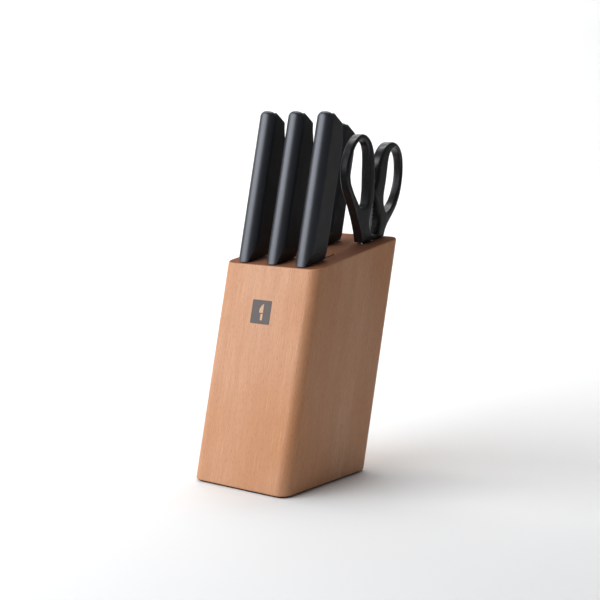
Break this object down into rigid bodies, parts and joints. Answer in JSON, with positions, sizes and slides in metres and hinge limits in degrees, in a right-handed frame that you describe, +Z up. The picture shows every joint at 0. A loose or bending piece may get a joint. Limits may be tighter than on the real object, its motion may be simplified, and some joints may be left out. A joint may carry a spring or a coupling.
{
  "type": "knife block with knives",
  "caption": "Leaning beech block with vertical slots that holds black-handled kitchen knives and a pair of kitchen scissors.",
  "frame": {"origin": "middle of the underside, on the surface that the block stands on", "axes": "+Z up, the front face looks along -Y, the slots and handles lean back towards +Y, +X to the right"},
  "size_m": [0.1, 0.1983, 0.3167],
  "materials": {
    "wood": "oiled beech, fine straight grain",
    "rubber": "matt non-slip sheet",
    "blade_steel": "satin ground stainless steel",
    "hard_plastic": "satin moulded black plastic",
    "matt_plastic": "fine textured matt black plastic"
  },
  "bodies": {
    "block": {"outer_board_left": "wood", "inner_board_left": "wood", "inner_board_right": "wood", "outer_board_right": "wood", "non_slip_pad": "rubber"},
    "slicing_knife": {"slicing_knife_blade": "blade_steel", "slicing_knife_core": "hard_plastic", "slicing_knife_grip": "matt_plastic"},
    "chef_knife": {"chef_knife_blade": "blade_steel", "chef_knife_core": "hard_plastic", "chef_knife_grip": "matt_plastic"},
    "santoku_knife": {"santoku_knife_blade": "blade_steel", "santoku_knife_core": "hard_plastic", "santoku_knife_grip": "matt_plastic"},
    "utility_knife": {"utility_knife_blade": "blade_steel", "utility_knife_core": "hard_plastic", "utility_knife_grip": "matt_plastic"},
    "scissors_back_half": {"scissors_blade_back": "blade_steel", "scissors_handle_back": "hard_plastic", "scissors_pivot_screw": "blade_steel", "scissors_pivot_nut": "blade_steel"},
    "scissors_front_half": {"scissors_blade_front": "blade_steel", "scissors_handle_front": "hard_plastic"}
  },
  "joints": [
    {"name": "slicing_knife_lift", "type": "slide", "parent": "block", "child": "slicing_knife", "axis": [0, 0.2284, 0.9736], "range_m": [0, 0.215]},
    {"name": "chef_knife_lift", "type": "slide", "parent": "block", "child": "chef_knife", "axis": [0, 0.2284, 0.9736], "range_m": [0, 0.205]},
    {"name": "santoku_knife_lift", "type": "slide", "parent": "block", "child": "santoku_knife", "axis": [0, 0.2284, 0.9736], "range_m": [0, 0.205]},
    {"name": "utility_knife_lift", "type": "slide", "parent": "block", "child": "utility_knife", "axis": [0, 0.2284, 0.9736], "range_m": [0, 0.13]},
    {"name": "scissors_lift", "type": "slide", "parent": "block", "child": "scissors_back_half", "axis": [0, 0.2284, 0.9736], "range_m": [0, 0.145]},
    {"name": "scissors_open", "type": "hinge", "parent": "scissors_back_half", "child": "scissors_front_half", "pos_m": [0.03, 0.08393, 0.18246], "axis": [1, 0, 0], "range_deg": [0, 9]}
  ]
}
